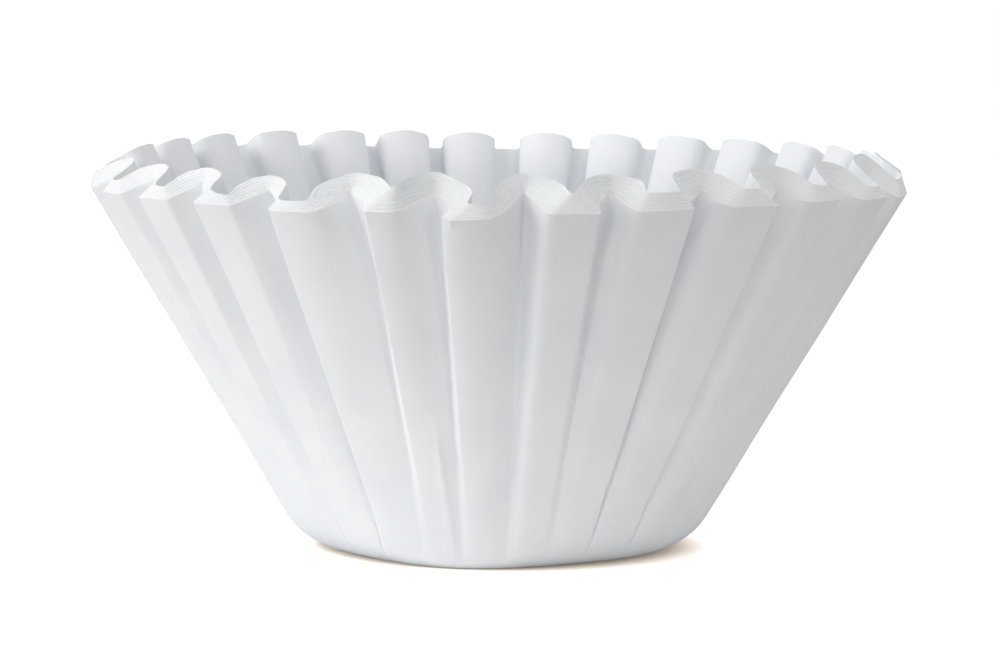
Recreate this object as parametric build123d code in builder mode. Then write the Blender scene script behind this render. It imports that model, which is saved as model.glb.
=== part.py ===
from build123d import *
from math import acos, atan2, cos, degrees, hypot, radians, sin, sqrt
import os

# A pile of fluted paper basket filters, nested one inside the other and standing on their flat bottoms.
# Millimetres, +Z up, with the origin on the table under the middle of the pile.

# Outermost filter
rim_radius = 80.0  # out to the ridges at the rim
rim_height = 70.4  # of the ridges at the rim, above the table
flat_radius = 30.0  # flat round bottom that the pile stands on
corner_radius = 13.5  # soft turn from the bottom into the wall

# Nesting
filter_count = 12
nest_step = 0.34  # each filter sits this much higher than the one around it
rim_lean = 0.7  # the innermost rim stands this far inside the outermost one

# Flutes, at the rim
flute_count = 28
front_ridge = -92.5  # direction of the ridge nearest the front, in degrees from +X
flute_depth = 5.8  # from a ridge in to the fold beside it
gap_width = 8.0  # open gap between two ridges of the outermost filter
gap_floor = 1.0  # narrow bottom of that gap
pocket_width = 4.1  # gap that the innermost filter leaves inside a ridge
fold_panels = 6  # creased panels of a fold between two of those pockets
fold_lip = 2.3  # width of the rim on top of a fold
crease_offset = 0.3  # the creases point to this far outside the wall's foot, so they fade a little above it

# The wall leaves the corner's arc as a tangent and runs straight up to the ridges
wall_run = rim_radius - flat_radius
wall_climb = rim_height - corner_radius
wall_reach = hypot(wall_run, wall_climb)
wall_lean = acos(corner_radius / wall_reach) - atan2(wall_climb, wall_run)
foot_radius = flat_radius + corner_radius * cos(wall_lean)
foot_height = corner_radius * (1 - sin(wall_lean))
slant = sqrt(wall_reach**2 - corner_radius**2)

# A fold is as long as a ridge, so it stands higher where it leans out less
fold_radius = rim_radius - flute_depth
fold_height = foot_height + sqrt(slant**2 - (fold_radius - foot_radius) ** 2)
rim_drop = fold_height - rim_height
rim_slant = hypot(flute_depth, rim_drop)

# Innermost filter
pile_rise = filter_count * nest_step
inner_rim_radius = rim_radius - rim_lean
half_pitch = 180 / flute_count
pitch_width = 2 * inner_rim_radius * sin(radians(half_pitch))
fold_width = pitch_width - pocket_width
fold_chord = sqrt(inner_rim_radius**2 - fold_width**2 / 4)
fold_reach = (fold_chord - fold_radius + rim_lean) * rim_slant / flute_depth
inner_rim_height = rim_height + pile_rise + (inner_rim_radius - fold_chord) * rim_drop / flute_depth

# One gap and one fold lie along +X here, and are set all round afterwards
overshoot = 1.3  # they reach this much further than the rim, to cut it through
outer_foot = Vector(foot_radius + crease_offset, 0, foot_height)
outer_fold = Vector(fold_radius, 0, fold_height)
inner_foot = outer_foot + Vector(0, 0, pile_rise)
inner_fold = outer_fold + Vector(-rim_lean, 0, pile_rise)


def rim_plane(origin):
    # Flat through the rim of a fold and the ridges on both sides of it, with its own +Y out to the ridges
    return Plane(origin, x_dir=(0, 1, 0), z_dir=(-rim_drop, 0, -flute_depth))


def gap_section(origin, scale):
    # From the gap's bottom out along its flanks and on past the ridges
    side = (gap_floor + (gap_width - gap_floor) * overshoot) / 2
    with BuildSketch(rim_plane(origin)) as section:
        with BuildLine():
            right = [(gap_floor / 2 * scale, 0), (side * scale, rim_slant * overshoot * scale)]
            left = [(-x, y) for x, y in reversed(right)]
            Polyline(*right, *left, close=True)
        make_face()
    return section.sketch


def dish_line(height):
    # The flat bottom and its soft corner in half section, from the axis out to where the wall starts
    flat = Line((0, height), (flat_radius, height))
    corner = CenterArc((flat_radius, height + corner_radius), corner_radius, -90, 90 - degrees(wall_lean))
    return flat @ 0, corner @ 1


# Gap up to the outermost rim
with BuildPart() as gap:
    end = outer_foot + (outer_fold - outer_foot) * overshoot
    loft([gap_section(end, overshoot), Vertex(outer_foot)])

# Above that rim it opens wider, over the edges of all the filters, until only the pockets are left between
top_floor = fold_width - (gap_width - gap_floor) * (fold_reach - fold_lip) / rim_slant
top_edge = rim_plane(inner_fold).from_local_coords((0, fold_lip, 0))
widening = top_floor / gap_floor - 1
with BuildPart() as flare:
    tip = outer_fold - (top_edge - outer_fold) / widening
    end = outer_fold + (top_edge - outer_fold) * overshoot
    loft([gap_section(end, 1 + widening * overshoot), Vertex(tip)])

# The slanting rim on top of a fold
with BuildPart() as above_rim:
    with BuildSketch(rim_plane(inner_fold)):
        Rectangle(pitch_width, rim_slant * 4)
    extrude(amount=-pile_rise * 2)

# Fold of the innermost filter: a half round of creased panels that swells from the foot up to the rim
with BuildPart() as fold:
    end = inner_foot + (inner_fold - inner_foot) * overshoot
    side = fold_width / 2 * overshoot
    reach = fold_reach * overshoot
    with BuildSketch(rim_plane(end)) as section:
        with BuildLine():
            bend = ThreePointArc((-side, reach), (0, 0), (side, reach), mode=Mode.PRIVATE)
            creases = [bend @ (number / fold_panels) for number in range(fold_panels + 1)]
            first = creases[0] * 2 - creases[1]
            last = creases[-1] * 2 - creases[-2]
            Polyline(first, *creases[1:-1], last, close=True)
        make_face()
    loft([section.sketch, Vertex(inner_foot)])

# Inside of the pile: the same bottom, and a wall out to the pockets with the folds standing in it
with BuildPart() as inside:
    with BuildSketch(Plane.XZ):
        with BuildLine():
            middle, foot = dish_line(pile_rise)
            top = foot + (Vector(inner_rim_radius, inner_rim_height) - foot) * overshoot
            Polyline(foot, top, (0, top.Y), middle)
        make_face()
    revolve(axis=Axis.Z)
    with PolarLocations(0, flute_count, half_pitch):
        add(fold.part, mode=Mode.SUBTRACT)

# The outermost filter, filled up to the innermost one
with BuildPart() as fluted:
    with BuildSketch(Plane.XZ):
        with BuildLine():
            middle, foot = dish_line(0)
            rim = [(rim_radius, rim_height), (inner_rim_radius, inner_rim_height)]
            Polyline(foot, *rim, (inner_rim_radius, inner_fold.Z), (0, inner_fold.Z), middle)
        make_face()
    revolve(axis=Axis.Z)
    add(inside.part, mode=Mode.SUBTRACT)
    with PolarLocations(0, flute_count, half_pitch):
        add([above_rim.part, gap.part, flare.part], mode=Mode.SUBTRACT)

with BuildPart() as filter_pile:
    add(fluted.part, rotation=(0, 0, front_ridge))

os.makedirs("parts", exist_ok=True)
filter_pile.part.label = "filter_pile"
export_step(filter_pile.part, "parts/filter_pile.step")
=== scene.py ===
import math

import bpy
import numpy as np
from mathutils import Matrix, Vector


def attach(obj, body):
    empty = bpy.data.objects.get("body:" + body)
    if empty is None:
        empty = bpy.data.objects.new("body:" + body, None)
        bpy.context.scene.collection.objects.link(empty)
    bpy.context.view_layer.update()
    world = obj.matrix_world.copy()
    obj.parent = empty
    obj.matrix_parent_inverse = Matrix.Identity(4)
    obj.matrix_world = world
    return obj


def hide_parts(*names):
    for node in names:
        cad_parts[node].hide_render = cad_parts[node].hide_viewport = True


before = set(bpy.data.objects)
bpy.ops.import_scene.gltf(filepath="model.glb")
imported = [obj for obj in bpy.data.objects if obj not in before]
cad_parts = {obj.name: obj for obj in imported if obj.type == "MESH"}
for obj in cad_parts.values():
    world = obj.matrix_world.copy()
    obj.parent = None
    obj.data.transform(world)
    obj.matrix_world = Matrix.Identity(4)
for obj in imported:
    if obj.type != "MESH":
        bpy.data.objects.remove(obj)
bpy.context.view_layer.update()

mm = 0.001
scene = bpy.context.scene
scene.view_settings.view_transform = "Standard"


# the nested filters, in millimetres
filterPile = {
    "rimRadius": 80.0,
    "rimHeight": 70.4,
    "wallLean": 31.04,  # degrees, out from upright
    "cornerRadius": 13.5,  # soft turn from the bottom into the wall
    "frontCorner": 2.6,  # it is sharper at the front
    "frontMiddle": -10.0,  # degrees, where it is sharpest
    "frontWidth": 26.0,  # and how far to the sides that reaches
    "sheets": 12,
    "pileRise": 4.08,
    "rimLean": 0.9,
    "fluteDepth": 6.6,  # at the rim, along the paper's normal
    "noseDepth": 6.8,  # the same for the folds of the innermost filter
    "creaseStart": 2.5,  # up from the edge of the bottom, where the creases begin to show
    "creaseGrow": 1.3,  # how fast they deepen toward the rim
    "flatFoot": 4.0,  # height up to which the paper stays smooth
    "gapBend": 0.8,  # how soft the bottoms of the gaps are
    "flankBend": 0.8,  # and the flanks above them
    "pocketBend": 1.3,  # and the innermost filter's pockets
    "noseBend": 2.6,  # and the corners of its folds
    "grooveDepth": 0.17,  # between two sheet edges, where they spread most
    "wave": 0.22,  # how far the paper strays from a straight wall
    "drift": 0.7,  # and the flutes from a straight line, in degrees
    "edgeStray": 0.1,  # each sheet's edge from its height
    "deckle": 0.06,  # and its torn edge from that
    "seed": 11,
    "bottomRings": (9.0, 18.0, 25.0),  # rows of the mesh: radii under the flat bottom
    "floorRings": (29.0, 20.0, 10.0),  # and inside on the floor
    "cornerRows": 9,
    "wallRows": 24,
    "rowsToRim": 1.4,  # they lie closer together toward the rim
    "creaseAngle": 32,  # degrees between two faces that show a crease
}
sharp, firm = 0.5, 0.9  # bends of most ridge edges, the softer ones are written out

# outermost filter's ridges: place, lift and bend of the left edge, then of the right edge
# degrees from the front, + to the right
frontRidges = [
    (-85.0, 0.2, firm, -78.5, 0.2, firm), (-71.0, 0.1, sharp, -63.7, 0.1, firm),
    (-57.8, 0.0, sharp, -50.8, 0.0, firm), (-44.9, 0.0, sharp, -38.1, 0.0, firm),
    (-31.8, -0.4, sharp, -24.4, -0.4, 3.2), (-17.8, 0.2, sharp, -13.4, 0.1, 2.6),
    (-7.6, -1.2, sharp, -0.2, -0.8, 3.0), (6.3, 0.0, 1.2, 13.4, 0.0, sharp),
    (18.1, 0.4, 2.4, 26.6, 0.7, sharp), (32.2, 0.9, 2.0, 40.1, 0.9, sharp),
    (46.0, 1.4, 2.0, 52.6, 1.4, sharp), (59.0, 0.8, 2.0, 67.5, 0.8, sharp),
    (73.5, 0.3, firm, 83.0, 0.3, firm),
]
# fold after each of these: place and lift of the gap outside it; then on the innermost filter place and
# lift of its left foot, place and depth of its left corner, place and lift of its nose, and the right
# corner and foot
frontFolds = [
    (-74.5, 0.0, -81.0, -1.0, -79.5, 4.2, -74.5, -1.2, -69.8, 6.0, -69.0, -1.5),
    (-61.0, -0.3, -66.0, -1.5, -65.2, 4.2, -60.9, -1.4, -56.5, 6.2, -54.8, -1.4),
    (-48.0, -0.4, -52.3, -1.8, -51.9, 4.6, -47.6, -1.2, -42.9, 5.6, -42.6, -1.3),
    (-34.4, -0.5, -39.1, -2.4, -39.0, 4.0, -35.4, -1.7, -31.0, 5.7, -30.8, -2.6),
    (-21.2, -0.4, -26.0, -2.7, -26.2, 3.4, -20.9, -0.7, -16.3, 4.3, -14.5, 0.6),
    (-9.3, 0.0, -13.3, 0.9, -12.4, 3.3, -8.8, 0.0, -3.1, 2.6, -4.4, -2.4),
    (3.5, 0.2, -1.3, -2.0, 0.0, 5.4, 3.7, -0.3, 8.6, 3.4, 9.3, -0.3),
    (15.6, 0.0, 10.1, 0.0, 12.2, 5.0, 15.5, -0.4, 20.5, 4.4, 19.6, -0.2),
    (29.5, -0.5, 24.9, -0.3, 24.7, 5.8, 29.6, 0.4, 33.5, 3.7, 34.6, 0.1),
    (43.5, -0.5, 37.7, 0.0, 38.1, 6.2, 42.8, 0.9, 46.5, 4.0, 47.3, 0.4),
    (56.8, -0.3, 50.7, 0.0, 52.4, 6.6, 56.6, 0.6, 61.4, 4.9, 61.8, -1.0),
    (70.5, 0.0, 66.0, -1.2, 65.6, 7.0, 70.0, 1.5, 74.8, 4.8, 75.5, -0.8),
    (86.0, 0.2, 81.6, 0.0, 81.4, 5.0, 86.0, 0.6, 90.5, 5.0, 90.4, 0.0),
]
# the back's folds are plainer: place, lift of the nose and of the pocket before it
backFolds = [
    (100.5, 0.2, 0.0), (113.5, 0.2, 0.0), (125.4, 0.13, 0.2), (137.9, -0.16, 0.3), (149.75, 0.0, 0.3),
    (161.3, -0.06, -0.2), (172.6, -0.05, -0.4), (184.9, 0.0, -0.5), (195.5, 0.3, -0.3), (206.1, 0.4, 0.3),
    (218.2, 0.55, 0.6), (230.7, 0.4, 0.2), (241.4, 0.1, 0.0), (252.6, -0.6, -0.3), (267.5, -2.4, -1.5),
]
# their gap, half width of the fold's foot and of its corners in degrees, depth of those corners, and the
# ridges' lift
backFlute = {"gap": 5.9, "foot": 3.9, "corner": 4.3, "cornerDepth": 5.0, "lift": 0.1}
# where a ridge hooks over the gap beside it: how far the gap's left and right flank lie under their ridges,
# and how deep the right ridge's edge is drawn in
hooks = {
    0: (0.0, 0.8, 0.0), 1: (0.0, 1.0, 0.0), 2: (0.0, 1.2, 0.0), 3: (0.0, 1.8, 0.2), 4: (0.0, 1.2, 0.0),
    5: (0.0, 2.2, 1.0), 7: (0.9, 0.0, 0.0), 8: (1.4, 0.0, 0.0), 9: (1.4, 0.0, 0.0), 10: (1.2, 0.0, 0.0),
}
# below the rim the gaps close to crevices beside the sharp edges; these four are shallower and open out
# softly at the foot, apart from one that is soft all the way
softFeet = (4, 5, 6, 7)
softGap = 6
crevice = {
    "closed": 15.0,  # down from the rim
    "lip": 1.2,  # degrees from the edge, where the face beside it drops into the crevice
    "lipDepth": 3.4,
    "bottom": 0.6,  # degrees from the edge
    "under": 0.1,
    "leftStart": -22.0,  # degrees, toward the left from here they grow deeper
    "leftFull": 20.0,  # over this
    "leftLip": 1.0,
    "leftLipDepth": 2.0,
    "leftDepth": 0.8,
    "softDepth": 0.6,  # share of the depth that the four keep
    "softPlace": 1.8,  # degrees from the edge
    "softBend": 2.4,
    "softTilt": 0.1,  # a soft edge draws its ridge in by this share of the ridge's width
}
slits = {0: 0.15, 1: 0.2, 2: 0.25, 3: 0.25, 8: 0.25, 9: 0.3, 10: 0.3}  # crevices that reach down to the foot
# how far the sheet edges spread at the ridge, edge, flank, fold, flank, edge and ridge of a flute
edgeSpread = (0.4, 0.8, 1.0, 0.7, 0.4, 0.35, 0.35)


def blendTo(a, b, share):
    return a + (b - a) * share


def clamp(value):
    return np.clip(value, 0, 1)


def fromFront(angle, front=0.0):
    return (angle - front + 180) % 360 - 180


def allFlutes():
    b = backFlute
    ridges, folds = list(frontRidges), list(frontFolds)
    for place, noseLift, pocketLift in backFolds:
        left, right = folds[-1][0] + b["gap"] / 2, place - b["gap"] / 2
        ridges.append((left, b["lift"], firm, right, b["lift"], firm))
        leftHalf = place - b["foot"], pocketLift, place - b["corner"], b["cornerDepth"], place, noseLift
        rightHalf = place + b["corner"], b["cornerDepth"], place + b["foot"], pocketLift
        folds.append((place, b["lift"], *leftHalf, *rightHalf))
    return ridges, folds


def fluteShapes(stage):
    # every flute from the middle of one ridge to the middle of the next: place, depth and lift of ridge,
    # edge, flank, fold, flank, edge and ridge, on the outermost and the innermost filter, then the bends of
    # both edges and the slit; stages are the rim, the wall below it and the foot
    d, c = filterPile, crevice
    ridges, folds = allFlutes()
    shapes = []
    for i, fold in enumerate(folds):
        lastOne = i == len(folds) - 1
        turn = 360 if lastOne else 0
        left, right = ridges[i], ridges[0 if lastOne else i + 1]
        foldBefore, foldAfter = folds[i - 1], folds[0 if lastOne else i + 1]
        gap, gapLift = fold[:2]
        leftFoot, leftLift, leftCorner, leftDepth, nose, noseLift = fold[2:8]
        rightCorner, rightDepth, rightFoot, rightLift = fold[8:]
        leftUnder, rightUnder, edgeDepth = hooks.get(i, (0.0, 0.0, 0.0))
        leftEdge, rightEdge = left[3], right[0] + turn
        leftBend, rightBend = left[5], right[2]
        deep = d["fluteDepth"]
        faceTilt = 0.0
        flank = (leftEdge + gap) / 2 - leftUnder, deep / 2
        flankAfter = (rightEdge + gap) / 2 + rightUnder, deep / 2
        if stage != "rim":
            more = clamp((c["leftStart"] - gap) / c["leftFull"]) * (1.0 if stage == "below" else 0.5)
            lip, lipDepth = c["lip"] + c["leftLip"] * more, c["lipDepth"] + c["leftLipDepth"] * more
            deep = deep * c["softDepth"] if i in softFeet and i != softGap else deep + c["leftDepth"] * more
            edgeDepth *= 0.5
            if leftBend > c["softBend"]:
                faceTilt = math.radians(leftEdge - left[0]) * d["rimRadius"] * c["softTilt"]
            if i == softGap or stage == "foot" and i in softFeet:
                if rightBend == sharp:
                    gap = rightEdge - c["softPlace"]
                elif leftBend == sharp:
                    gap = leftEdge + c["softPlace"]
                flank, flankAfter = ((leftEdge + gap) / 2, deep / 2), ((rightEdge + gap) / 2, deep / 2)
                leftBend = rightBend = c["softBend"]
            elif rightBend == sharp:
                flank, gap = (rightEdge - lip, lipDepth), rightEdge - c["bottom"]
                flankAfter = rightEdge + c["under"], deep / 2
            elif leftBend == sharp:
                flankAfter, gap = (leftEdge + lip, lipDepth), leftEdge + c["bottom"]
                flank = leftEdge - c["under"], deep / 2
        outer = [
            ((left[0] + leftEdge) / 2, 0.0, (left[1] + left[4]) / 2),
            (leftEdge, faceTilt, left[4]),
            (*flank, (left[4] + gapLift) / 2),
            (gap, deep, gapLift),
            (*flankAfter, (right[1] + gapLift) / 2),
            (rightEdge, edgeDepth, right[1]),
            ((right[0] + right[3]) / 2 + turn, 0.0, (right[1] + right[4]) / 2),
        ]
        inner = [
            ((foldBefore[10] - (360 if i == 0 else 0) + leftFoot) / 2, 0.0, (foldBefore[11] + leftLift) / 2),
            (leftFoot, 0.2, leftLift),
            (leftCorner, leftDepth, (leftLift + noseLift) / 2),
            (nose, d["noseDepth"], noseLift),
            (rightCorner, rightDepth, (rightLift + noseLift) / 2),
            (rightFoot, 0.2, rightLift),
            ((rightFoot + foldAfter[2] + turn) / 2, 0.0, (rightLift + foldAfter[3]) / 2),
        ]
        shapes.append((np.array(outer), np.array(inner), leftBend, rightBend, slits.get(i, 0.0)))
    return shapes


def softCorner(before, corner, after, bend):
    # five points round a corner
    start = blendTo(corner, before, min(0.45, bend / np.linalg.norm((before - corner)[:2])))
    end = blendTo(corner, after, min(0.45, bend / np.linalg.norm((after - corner)[:2])))
    steps = (0.0, 0.25, 0.5, 0.75, 1.0)
    return [blendTo(blendTo(start, corner, t), blendTo(corner, end, t), t) for t in steps]


def sheetLine(shapes, share):
    # place, depth, lift, slit and spread of one sheet's rim, all round; share 0 is the outermost sheet, 1 the
    # innermost one
    d = filterPile
    lengths = np.array([math.radians(d["rimRadius"]), 1.0, 1.0])
    flankBend = blendTo(d["flankBend"], d["noseBend"], share)
    foldBend = blendTo(d["gapBend"], d["noseBend"], share)
    line, deep, spreads = [], [], []
    for outer, inner, leftBend, rightBend, slit in shapes:
        ridge, edge, flank, fold, flankAfter, edgeAfter, ridgeAfter = blendTo(outer, inner, share) * lengths
        leftBend, rightBend = (blendTo(bend, d["pocketBend"], share) for bend in (leftBend, rightBend))
        corners = softCorner(ridge, edge, flank, leftBend)
        sides = softCorner(edge, flank, fold, flankBend)
        bottom = softCorner(flank, fold, flankAfter, foldBend)
        sidesAfter = softCorner(fold, flankAfter, edgeAfter, flankBend)
        cornersAfter = softCorner(flankAfter, edgeAfter, ridgeAfter, rightBend)
        face = blendTo(ridge, corners[0], 0.7)
        faceAfter = blendTo(ridgeAfter, cornersAfter[-1], 0.7)
        faceAfter[1] = ridgeAfter[1]
        parts = [[ridge, face], corners, sides, bottom, sidesAfter, cornersAfter, [faceAfter]]
        slit = slit * max(0.0, 1 - share * 8)
        for part, spread in zip(parts, edgeSpread):
            if len(part) == 5 and part is not corners:
                part = [*(blendTo(line[-1], part[0], t) for t in (0.34, 0.67)), *part]
            line += part
            deep += [slit if point is bottom[2] else 0.0 for point in part]
            spreads += [spread] * len(part)
    return np.concatenate([(np.array(line) / lengths).T, np.array([deep, spreads])])


def wallLine(corner):
    # half section of a filter for each column, from the edge of its flat bottom up to the rim: radius,
    # height, the two parts of the inward normal, and the length of paper down from the rim
    d = filterPile
    lean = math.radians(d["wallLean"])
    bottom = d["rimRadius"] - d["rimHeight"] * math.tan(lean)
    flat = bottom - corner * math.tan((math.pi / 2 - lean) / 2)
    footR = flat + corner * math.cos(lean)
    footZ = corner * (1 - math.sin(lean))
    slant = (d["rimHeight"] - footZ) / math.cos(lean)
    line = []
    for a in np.linspace(0, math.pi / 2 - lean, d["cornerRows"]):
        r, z = flat + corner * math.sin(a), corner * (1 - math.cos(a))
        line.append((r, z, -math.sin(a), math.cos(a), slant + corner * (math.pi / 2 - lean - a)))
    for t in 1 - np.linspace(1, 0, d["wallRows"] + 1)[1:] ** d["rowsToRim"]:
        r, z = footR + slant * t * math.sin(lean), footZ + slant * t * math.cos(lean)
        line.append((r, z, -math.cos(lean), math.sin(lean), slant * (1 - t)))
    return line


# how often each wave goes round, its turn along the wall, its shift and its share
paperWaves = [(5, 0.05, 1.0, 0.5), (13, -0.11, 1.7, 0.3), (29, 0.17, 2.9, 0.2)]


def paperWave(angle, along, phase):
    # slow straying of the paper, the same each run
    a = np.radians(angle)
    return sum(np.sin(n * a + along * turn + shift * phase) * part for n, turn, shift, part in paperWaves)


frontPleat = {"place": -12.4, "apex": 46.0, "wide": 0.09, "high": 0.45}


def pleat(angle, down):
    # small triangular fold low at the front that opens downward from its apex, steeper on its right side
    p = frontPleat
    reach = np.maximum(0.01, (down - p["apex"]) * p["wide"])
    across = (angle - p["place"]) / reach
    high = clamp(np.minimum((across + 1) / 1.5, (1 - across) / 0.5)) * p["high"]
    return np.where(down > p["apex"], high, 0.0)


def settled(angle):
    # the same columns in order and a little evened out, for the foot and the flat bottom
    even = np.linspace(angle[0], angle[0] + 360, len(angle), endpoint=False)
    return blendTo(np.sort(angle), even, 0.2)


def ring(angle, radius, height):
    a = np.radians(angle) - math.pi / 2
    return np.stack([radius * np.cos(a), radius * np.sin(a), height + np.zeros_like(a)], axis=1)


def pileRows():
    d = filterPile
    shapes = fluteShapes("rim")
    chance = np.random.RandomState(d["seed"])
    outermost, innermost = sheetLine(shapes, 0.0), sheetLine(shapes, 1.0)
    below, foot = sheetLine(fluteShapes("below"), 0.0), sheetLine(fluteShapes("foot"), 0.0)
    sharper = np.exp(-((fromFront(outermost[0], d["frontMiddle"]) / d["frontWidth"]) ** 2))
    outside = wallLine(blendTo(d["cornerRadius"], d["frontCorner"], sharper))
    inside = wallLine(d["cornerRadius"])
    full = inside[0][4] - d["creaseStart"]

    def wallRow(point, rim, rise, lean):
        # grow runs from 0 at the foot to 1 at the rim; the slits, waves and columns settle below a fifth, a
        # quarter and a third of it
        angle, depth, lift, slit = rim[:4]
        r, z, nr, nz, down = point
        grow = clamp(1 - down / full)
        above = clamp(z / d["flatFoot"]) ** 2
        push = depth * grow ** d["creaseGrow"] + slit * clamp(grow * 5)
        push = (push + paperWave(angle, down, 0.4) * d["wave"] * clamp(grow * 4)) * above
        turned = blendTo(settled(angle), angle, clamp(grow * 3))
        turned = turned + paperWave(turned, 0.0, 2.2) * d["drift"] * (1 - grow)
        return ring(turned, r - lean * grow + nr * push, z + rise + nz * push + lift * grow * above)

    def flatRow(radius, rim, rise):
        return wallRow((radius, 0.0, 0.0, 0.0, 2 * full), rim, rise, 0.0)

    # outside, from the bottom up
    rows = [flatRow(r, foot, 0.0) for r in d["bottomRings"]]
    for point in outside[:-1]:
        down = point[4]
        rim = blendTo(outermost, below, clamp(down / crevice["closed"]) ** 0.8)
        rim = blendTo(rim, foot, clamp(down / full * 1.5 - 0.4))
        rim[3] -= pleat(rim[0], down)
        rows.append(wallRow(point, rim, 0.0, 0.0))

    # sheet edges, each a little further in and higher than the one before; two rows for each and one for the
    # groove after it
    edges = []
    for sheet in range(d["sheets"]):
        stray = paperWave(outermost[0], sheet * 23.0, sheet * 1.9) * d["edgeStray"]
        stray = stray + chance.uniform(-1, 1, len(stray)) * d["deckle"]
        for part in (0.0, 0.55, 0.78):
            share = min(1.0, (sheet + part) / (d["sheets"] - 0.45))
            row = wallRow(inside[-1], sheetLine(shapes, share), d["pileRise"] * share, d["rimLean"] * share)
            row[:, 2] += stray
            edges.append(row)
    edges.pop()
    band = np.array(edges)
    across = np.gradient(band, axis=0)
    around = np.roll(band, -1, axis=1) - np.roll(band, 1, axis=1)
    inward = np.cross(across, around)
    inward /= np.linalg.norm(inward, axis=2, keepdims=True) + 1e-9
    toSide = clamp((np.abs(fromFront(outermost[0])) - 30) / 30)  # the grooves are shallower there
    groove = d["grooveDepth"] * outermost[4] * (1 - 0.65 * toSide)
    band[2::3] += inward[2::3] * groove[None, :, None]
    rows += list(band)

    # inside, from the rim down, with every other row of the wall and the corner
    cornerTop = d["cornerRows"] - 1
    for point in inside[-2:cornerTop:-2] + inside[cornerTop:0:-2]:
        rows.append(wallRow(point, innermost, d["pileRise"], d["rimLean"]))
    return rows + [flatRow(r, innermost, d["pileRise"]) for r in d["floorRings"]]


def buildPile():
    rows = pileRows()
    wide = len(rows[0])
    middles = np.array([[0, 0, 0], [0, 0, filterPile["pileRise"]]])
    points = np.concatenate(rows + [middles]) * mm
    faces = []
    for row in range(len(rows) - 1):
        for i in range(wide):
            j = (i + 1) % wide
            faces.append((row * wide + i, row * wide + j, (row + 1) * wide + j, (row + 1) * wide + i))
    last = (len(rows) - 1) * wide
    bottom, floor = len(points) - 2, len(points) - 1
    for i in range(wide):
        j = (i + 1) % wide
        faces.append((bottom, j, i))
        faces.append((floor, last + i, last + j))
    mesh = bpy.data.meshes.new("filterPile")
    mesh.from_pydata(points.tolist(), [], faces)
    mesh.validate()
    mesh.shade_smooth()
    mesh.set_sharp_from_angle(angle=math.radians(filterPile["creaseAngle"]))
    pile = bpy.data.objects.new("filterPile", mesh)
    scene.collection.objects.link(pile)
    return pile


paperLook = {
    "shade": (0.822, 0.838, 0.858, 1),
    "light": (0.858, 0.872, 0.886, 1),
    "mottle": 90,
    "rough": 0.9,
    "gloss": 0.2,
    "dent": 260,
    "dentDepth": 0.00016,
    "fibre": 2600,
    "fibreDepth": 0.00003,
}


def makePaper():
    # bleached paper: fine fibres, soft dents and a faint mottle
    p = paperLook
    paper = bpy.data.materials.new("bleachedFilterPaper")
    paper.use_nodes = True
    nodes, links = paper.node_tree.nodes, paper.node_tree.links
    shader = nodes["Principled BSDF"]
    shader.inputs["Roughness"].default_value = p["rough"]
    shader.inputs["Specular IOR Level"].default_value = p["gloss"]
    place = nodes.new("ShaderNodeTexCoord")

    def noise(scale, detail):
        made = nodes.new("ShaderNodeTexNoise")
        made.inputs["Scale"].default_value = scale
        made.inputs["Detail"].default_value = detail
        links.new(place.outputs["Object"], made.inputs["Vector"])
        return made.outputs[0]

    def bump(height, depth):
        made = nodes.new("ShaderNodeBump")
        made.inputs["Distance"].default_value = depth
        links.new(height, made.inputs["Height"])
        return made

    tint = nodes.new("ShaderNodeValToRGB")
    low, high = tint.color_ramp.elements
    low.position, high.position = 0.3, 0.7
    low.color, high.color = p["shade"], p["light"]
    links.new(noise(p["mottle"], 4), tint.inputs["Fac"])
    links.new(tint.outputs["Color"], shader.inputs["Base Color"])
    dents = bump(noise(p["dent"], 2), p["dentDepth"])
    fibres = bump(noise(p["fibre"], 3), p["fibreDepth"])
    links.new(dents.outputs["Normal"], fibres.inputs["Normal"])
    links.new(fibres.outputs["Normal"], shader.inputs["Normal"])
    return paper


pile = buildPile()
pile.data.materials.append(makePaper())
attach(pile, "root")
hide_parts("filter_pile")
print("filter pile:", len(pile.data.polygons), "faces")


def seenRays(nodes, links):
    # 1 for what the camera sees, also in a gloss and through glass
    path = nodes.new("ShaderNodeLightPath")
    seen = path.outputs["Is Camera Ray"]
    for ray in ("Is Glossy Ray", "Is Transmission Ray"):
        most = nodes.new("ShaderNodeMath")
        most.operation = "MAXIMUM"
        links.new(seen, most.inputs[0])
        links.new(path.outputs[ray], most.inputs[1])
        seen = most.outputs[0]
    return seen


def ranged(nodes, links, source, start, end):
    # start and end are a value of the source and what it becomes there
    made = nodes.new("ShaderNodeMapRange")
    made.inputs["From Min"].default_value, made.inputs["To Min"].default_value = start
    made.inputs["From Max"].default_value, made.inputs["To Max"].default_value = end
    links.new(source, made.inputs["Value"])
    return made.outputs["Result"]


# table, in metres; it shows white, apart from a warm shade right beside the paper
table = {
    "half": 6.0,
    "paintedPoolNear": (0.09, 0.72),  # how far from the middle and how pale: the table is painted paler under the pile, a painted pool of light that bounces onto the foot of the wall
    "paintedPoolEnd": (0.3, 0.42),
    "leftShade": (-0.04, 0.0012),  # place and reach of the shade, which is wider away from the key lamp
    "rightShade": (0.04, 0.0048),
    "shadeColors": [(0.0, (0.2, 0.14, 0.09, 1)), (0.5, (0.72, 0.6, 0.47, 1)), (1.0, (1.0, 1.0, 1.0, 1))],
    "glow": 0.72,
}


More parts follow.
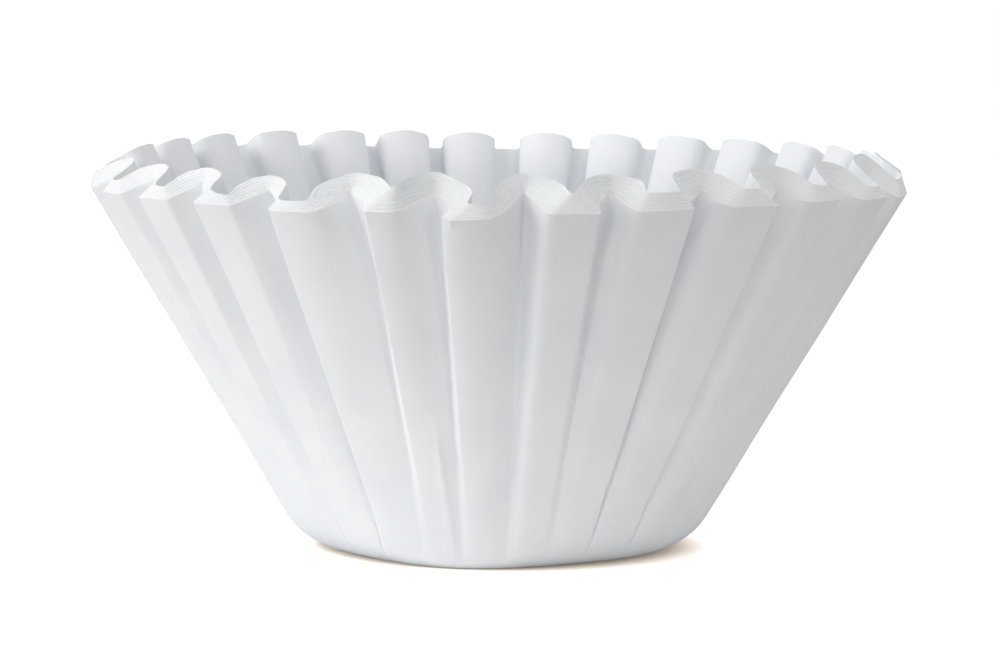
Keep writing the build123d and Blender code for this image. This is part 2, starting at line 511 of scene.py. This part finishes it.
def makeTable():
    t = table
    half = t["half"]
    mesh = bpy.data.meshes.new("tableTop")
    corners = [(-half, -half, 0), (half, -half, 0), (half, half, 0), (-half, half, 0)]
    mesh.from_pydata(corners, [], [(0, 1, 2, 3)])
    white = bpy.data.materials.new("whiteTable")
    white.use_nodes = True
    nodes, links = white.node_tree.nodes, white.node_tree.links
    shader = nodes["Principled BSDF"]
    shader.inputs["Roughness"].default_value = 1.0
    shader.inputs["Specular IOR Level"].default_value = 0.0
    place = nodes.new("ShaderNodeTexCoord").outputs["Object"]
    fromMiddle = nodes.new("ShaderNodeVectorMath")
    fromMiddle.operation = "LENGTH"
    links.new(place, fromMiddle.inputs[0])
    # painted pool of light: the table's colour is paler near the middle, so more light bounces onto the foot
    # of the wall
    paintedLightPool = ranged(nodes, links, fromMiddle.outputs["Value"], t["paintedPoolNear"], t["paintedPoolEnd"])
    links.new(paintedLightPool, shader.inputs["Base Color"])
    split = nodes.new("ShaderNodeSeparateXYZ")
    links.new(place, split.inputs[0])
    shade = nodes.new("ShaderNodeAmbientOcclusion")
    reach = ranged(nodes, links, split.outputs["X"], t["leftShade"], t["rightShade"])
    links.new(reach, shade.inputs["Distance"])
    warm = nodes.new("ShaderNodeValToRGB")
    elements = warm.color_ramp.elements
    elements.new(0.5)
    for element, (position, color) in zip(elements, t["shadeColors"]):
        element.position, element.color = position, color
    links.new(shade.outputs["AO"], warm.inputs["Fac"])
    links.new(warm.outputs["Color"], shader.inputs["Emission Color"])
    glow = nodes.new("ShaderNodeMath")
    glow.operation = "MULTIPLY"
    glow.inputs[1].default_value = t["glow"]
    links.new(seenRays(nodes, links), glow.inputs[0])
    links.new(glow.outputs[0], shader.inputs["Emission Strength"])
    mesh.materials.append(white)
    made = bpy.data.objects.new("tableTop", mesh)
    scene.collection.objects.link(made)
    return made


tableTop = makeTable()
print("table set")


# light, brighter overhead than toward the horizon, and white behind the table
studio = {"horizon": 0.43, "overhead": 0.86}
world = bpy.data.worlds.new("studio")
scene.world = world
world.use_nodes = True
nodes, links = world.node_tree.nodes, world.node_tree.links
background = nodes["Background"]
background.inputs["Color"].default_value = (1, 1, 1, 1)
direction = nodes.new("ShaderNodeTexCoord")
split = nodes.new("ShaderNodeSeparateXYZ")
links.new(direction.outputs["Generated"], split.inputs[0])
level = ranged(nodes, links, split.outputs["Z"], (0.0, studio["horizon"]), (1.0, studio["overhead"]))
choose = nodes.new("ShaderNodeMix")
choose.data_type = "FLOAT"
links.new(seenRays(nodes, links), choose.inputs["Factor"])
links.new(level, choose.inputs["A"])
choose.inputs["B"].default_value = 1.0
links.new(choose.outputs["Result"], background.inputs["Strength"])

softLamps = {
    "keyLamp": {"place": (-1.36, -0.4, 0.34), "aim": (0, 0, 0.04), "size": 0.8, "watts": 9.3},
    "topLamp": {"place": (0.2, -0.8, 1.3), "aim": (0, 0, 0.06), "size": 0.8, "watts": 1.2},
}
# these two lift the foot of the wall
baseSpots = {
    "baseLampLeft": {"place": (-0.7, -1.1, 0.06), "aim": (-0.045, 0, -0.034), "cone": 12, "watts": 29},
    "baseLampRight": {"place": (0.8, -1.0, 0.06), "aim": (0.045, 0, -0.034), "cone": 12, "watts": 22},
}


def setLamp(lamp, look):
    lamp.energy = look["watts"]
    holder = bpy.data.objects.new(lamp.name, lamp)
    scene.collection.objects.link(holder)
    place, aim = Vector(look["place"]), Vector(look["aim"])
    holder.location = place
    holder.rotation_euler = (aim - place).to_track_quat("-Z", "Y").to_euler()


for name, look in softLamps.items():
    lamp = bpy.data.lights.new(name, "AREA")
    lamp.shape = "SQUARE"
    lamp.size = look["size"]
    setLamp(lamp, look)
for name, look in baseSpots.items():
    lamp = bpy.data.lights.new(name, "SPOT")
    lamp.spot_size = math.radians(look["cone"])
    lamp.spot_blend = 1.0
    lamp.shadow_soft_size = 0.12
    setLamp(lamp, look)
print("light set")


# camera
cameraView = {
    "lens": 173.8,
    "sensor": 36.0,
    "place": (0.0005, -0.9461, 0.1275),
    "aim": (0.0005, 0.0, 0.0414),
    "roll": 0.58,  # the picture leans clockwise by this
}
lens = bpy.data.cameras.new("photoCamera")
lens.lens = cameraView["lens"]
lens.sensor_width = cameraView["sensor"]
camera = bpy.data.objects.new("photoCamera", lens)
scene.collection.objects.link(camera)
place, aim = Vector(cameraView["place"]), Vector(cameraView["aim"])
back = (place - aim).normalized()
right = Vector((0, 0, 1)).cross(back).normalized()
up = back.cross(right)
roll = math.radians(cameraView["roll"])
upTilted = up * math.cos(roll) - right * math.sin(roll)
rightTilted = upTilted.cross(back)
turned = Matrix((rightTilted, upTilted, back)).transposed().to_4x4()
camera.matrix_world = Matrix.Translation(place) @ turned
scene.camera = camera
print("camera set")
